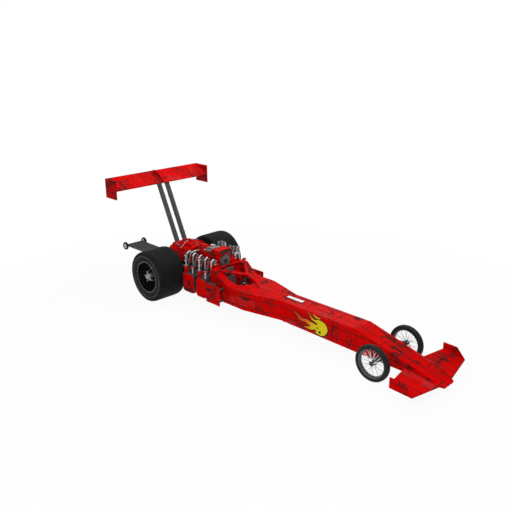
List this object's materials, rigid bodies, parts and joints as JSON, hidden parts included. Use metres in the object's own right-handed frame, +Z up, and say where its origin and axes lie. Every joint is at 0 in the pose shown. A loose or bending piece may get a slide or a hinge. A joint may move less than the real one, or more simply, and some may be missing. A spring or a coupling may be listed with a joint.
{
  "type": "drag racing car",
  "caption": "Long-nosed drag racing car with a rear-mounted blown engine, wide rear slicks, thin spoked front wheels and a tall rear wing on struts.",
  "frame": {"origin": "on the ground, in the middle of the car's length and width", "axes": "+Z up, -Y towards the nose, +X towards the car's left side"},
  "size_m": [2.148, 7.325, 2.16],
  "materials": {
    "red_paint": "gloss red paint with dark worn panel lines",
    "dark_steel": "satin dark grey enamel",
    "cast_grey": "bead-blasted cast aluminium",
    "chrome": "polished, heat-tinted at the ports",
    "bright_metal": "brushed and polished aluminium",
    "rim_black": "gloss black powder coat",
    "tyre": "matt rubber",
    "seat_shell": "woven composite shell",
    "grip": "moulded grip",
    "pack_fabric": "woven nylon"
  },
  "bodies": {
    "chassis": {"nose_cone": "red_paint", "front_wing": "red_paint", "front_end_plates": "red_paint", "fore_body": "red_paint", "cowl": "red_paint", "belly_pan": "red_paint", "cockpit_side_left": "red_paint", "cockpit_side_right": "red_paint", "rear_bulkhead": "red_paint", "head_guard": "red_paint", "seat": "seat_shell", "steering_column": "dark_steel", "frame_rails": "dark_steel", "engine_block": "cast_grey", "cylinder_heads": "cast_grey", "valve_covers": "red_paint", "intake_manifold": "red_paint", "blower": "red_paint", "blower_drive": "dark_steel", "air_scoop": "red_paint", "exhaust_pipes": "chrome", "pipe_collars": "red_paint", "gearbox": "cast_grey", "rear_axle_housing": "cast_grey", "rear_cover": "red_paint", "wing_struts": "dark_steel", "rear_wing": "red_paint", "wing_plates": "red_paint", "wheelie_truss": "dark_steel", "side_pods": "cast_grey", "side_plates": "red_paint", "parachute_packs": "pack_fabric", "front_axle": "dark_steel"},
    "rear_wheelset": {"rear_axle_shaft": "bright_metal", "rear_tyre_left": "tyre", "rear_tyre_right": "tyre", "rear_rim_left": "rim_black", "rear_rim_right": "rim_black"},
    "front_wheel_left": {"front_tyre_left": "tyre", "front_rim_left": "bright_metal"},
    "front_wheel_right": {"front_tyre_right": "tyre", "front_rim_right": "bright_metal"},
    "knuckle_left_body": {"knuckle_left": "dark_steel"},
    "knuckle_right_body": {"knuckle_right": "dark_steel"},
    "tie_rod_body": {"tie_rod": "dark_steel"},
    "steering_wheel_body": {"steering_wheel": "grip"},
    "wheelie_wheelset": {"wheelie_wheels": "tyre"}
  },
  "joints": [
    {"name": "rear_wheels_roll", "type": "hinge", "parent": "chassis", "child": "rear_wheelset", "pos_m": [0, 1.8325, 0.465], "axis": [1, 0, 0], "continuous": true},
    {"name": "steer_left", "type": "hinge", "parent": "chassis", "child": "knuckle_left_body", "pos_m": [0.361, -2.7175, 0.274], "axis": [0, 0, 1], "range_deg": [-14, 14]},
    {"name": "steer_right", "type": "hinge", "parent": "chassis", "child": "knuckle_right_body", "pos_m": [-0.361, -2.7175, 0.274], "axis": [0, 0, 1], "range_deg": [-14, 14]},
    {"name": "tie_rod_swing", "type": "hinge", "parent": "knuckle_left_body", "child": "tie_rod_body", "pos_m": [0.361, -2.6075, 0.289], "axis": [0, 0, 1], "range_deg": [-14, 14]},
    {"name": "front_left_roll", "type": "hinge", "parent": "knuckle_left_body", "child": "front_wheel_left", "pos_m": [0.361, -2.7175, 0.274], "axis": [1, 0, 0], "continuous": true},
    {"name": "front_right_roll", "type": "hinge", "parent": "knuckle_right_body", "child": "front_wheel_right", "pos_m": [-0.361, -2.7175, 0.274], "axis": [1, 0, 0], "continuous": true},
    {"name": "steering_wheel_turn", "type": "hinge", "parent": "chassis", "child": "steering_wheel_body", "pos_m": [0, 0.2925, 0.505], "axis": [0, 0.9397, 0.342], "range_deg": [-84, 84]},
    {"name": "wheelie_wheels_roll", "type": "hinge", "parent": "chassis", "child": "wheelie_wheelset", "pos_m": [0, 3.5825, 0.484], "axis": [1, 0, 0], "continuous": true}
  ],
  "couplings": [
    {"joint": "steer_right", "follows": "steer_left", "ratio": 1},
    {"joint": "tie_rod_swing", "follows": "steer_left", "ratio": -1},
    {"joint": "steering_wheel_turn", "follows": "steer_left", "ratio": 6}
  ]
}
